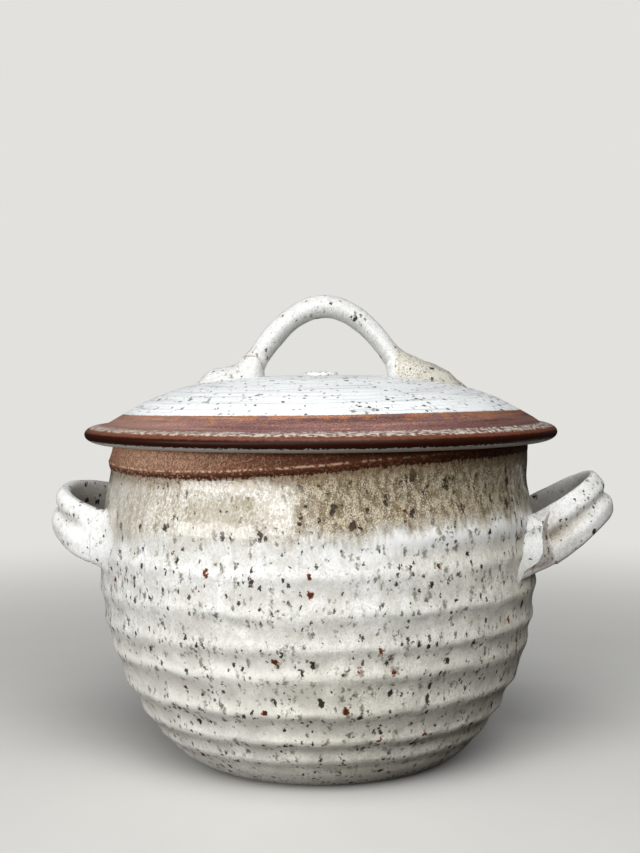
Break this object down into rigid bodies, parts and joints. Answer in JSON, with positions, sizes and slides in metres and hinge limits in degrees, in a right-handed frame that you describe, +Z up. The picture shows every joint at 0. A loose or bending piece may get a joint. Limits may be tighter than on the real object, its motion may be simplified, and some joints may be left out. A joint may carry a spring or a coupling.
{
  "type": "lidded casserole",
  "caption": "Hand-thrown speckled stoneware casserole with ringed round body, pulled strap side handles, and a loose domed lid with an arch handle and an iron-brown brim.",
  "frame": {"origin": "centre of the flat base, on the table", "axes": "+Z up along the pot's turning axis; +X towards the longer side handle; the picture looks along +Y"},
  "size_m": [0.2768, 0.2306, 0.2257],
  "materials": {
    "pot_glaze": "satin cream glaze with iron speckle, buff runs under an iron-brown rim",
    "handle_glaze": "satin cream and buff glaze with iron speckle",
    "lid_glaze": "satin white glaze with fine turning lines and an iron-brown brim",
    "lid_handle_glaze": "satin white glaze breaking to buff on the edges",
    "bare_stoneware": "unglazed fired stoneware"
  },
  "bodies": {
    "vessel": {"pot": "pot_glaze", "right_handle": "handle_glaze", "right_handle_front_pad": "handle_glaze", "right_handle_back_pad": "handle_glaze", "left_handle": "handle_glaze", "left_handle_front_pad": "handle_glaze", "left_handle_back_pad": "handle_glaze"},
    "cover": {"lid": "lid_glaze", "lid_locating_ring": "bare_stoneware", "lid_handle": "lid_handle_glaze", "lid_handle_left_pad": "lid_handle_glaze", "lid_handle_right_pad": "lid_handle_glaze", "lid_button": "lid_handle_glaze"}
  },
  "joints": [
    {"name": "lid_lift", "type": "slide", "parent": "vessel", "child": "cover", "axis": [0, 0, 1], "range_m": [0, 0.12]}
  ]
}
